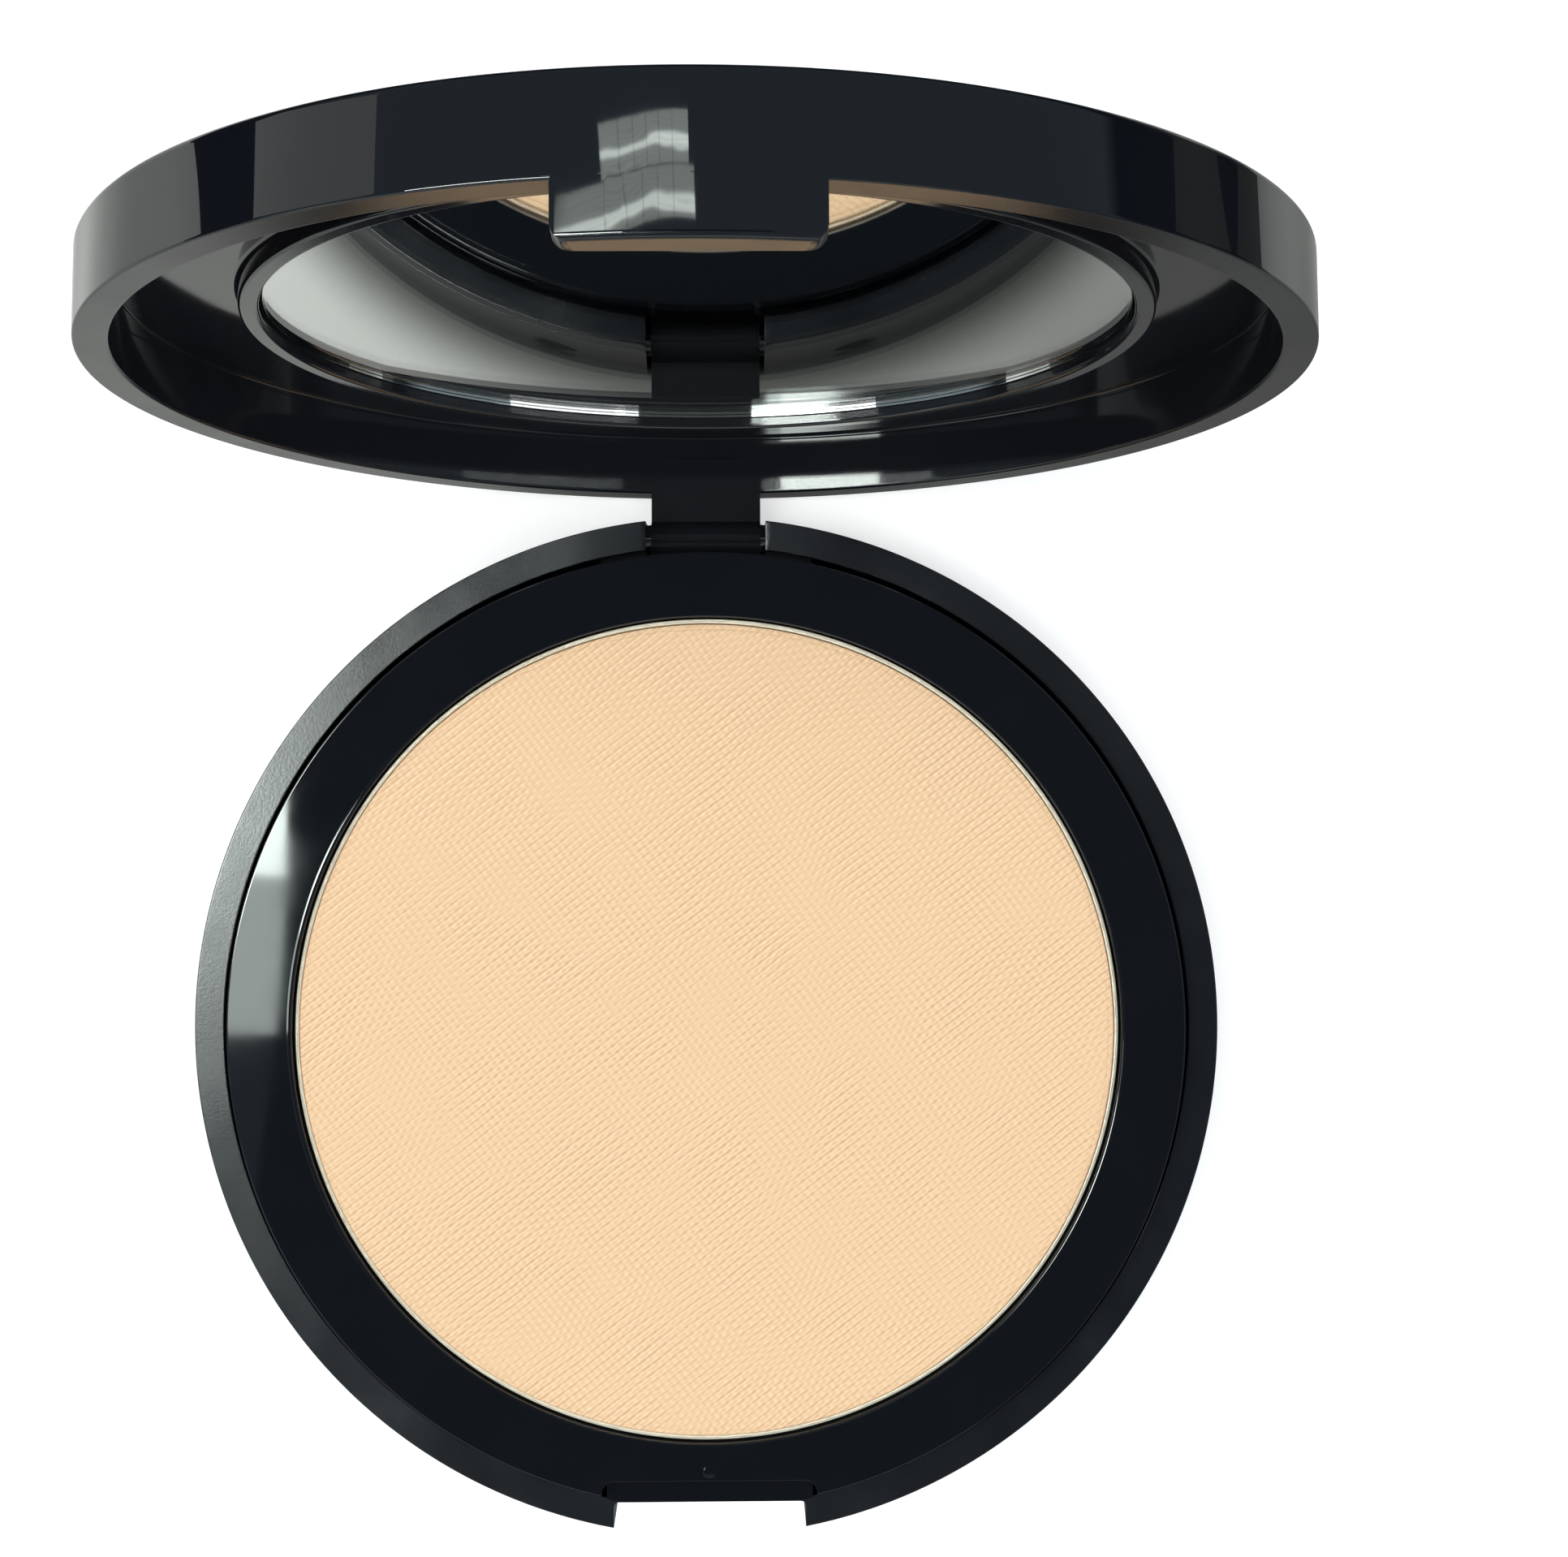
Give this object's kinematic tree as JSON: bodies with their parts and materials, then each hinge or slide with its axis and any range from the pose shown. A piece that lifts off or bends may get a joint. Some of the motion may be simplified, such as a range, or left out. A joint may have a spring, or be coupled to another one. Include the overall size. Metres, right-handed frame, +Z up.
{
  "type": "powder compact",
  "caption": "Round pressed-powder compact standing open, with a hinged lid that holds a round mirror and snaps shut with a front tab.",
  "frame": {"origin": "centre of the base's flat underside, on the surface that the compact stands on", "axes": "+Z up out of the pan, +Y from the latch to the hinge, +X along the hinge axis to the right as seen from the latch"},
  "size_m": [0.0736, 0.0902, 0.0741],
  "materials": {
    "gloss_black": "gloss",
    "pan_metal": "satin",
    "powder": "matte",
    "adhesive": "matte",
    "mirror": "polished",
    "steel": "satin"
  },
  "bodies": {
    "base": {"base_shell": "gloss_black", "inner_frame": "gloss_black", "powder_pan": "pan_metal", "pan_adhesive": "adhesive", "pressed_powder": "powder", "hinge_pin": "steel"},
    "lid": {"lid_shell": "gloss_black", "mirror": "mirror", "mirror_adhesive": "adhesive"}
  },
  "joints": [
    {"name": "lid_hinge", "type": "hinge", "parent": "base", "child": "lid", "pos_m": [0, 0.035, 0.0031], "axis": [-1, 0, 0], "range_deg": [-98, 0]}
  ]
}
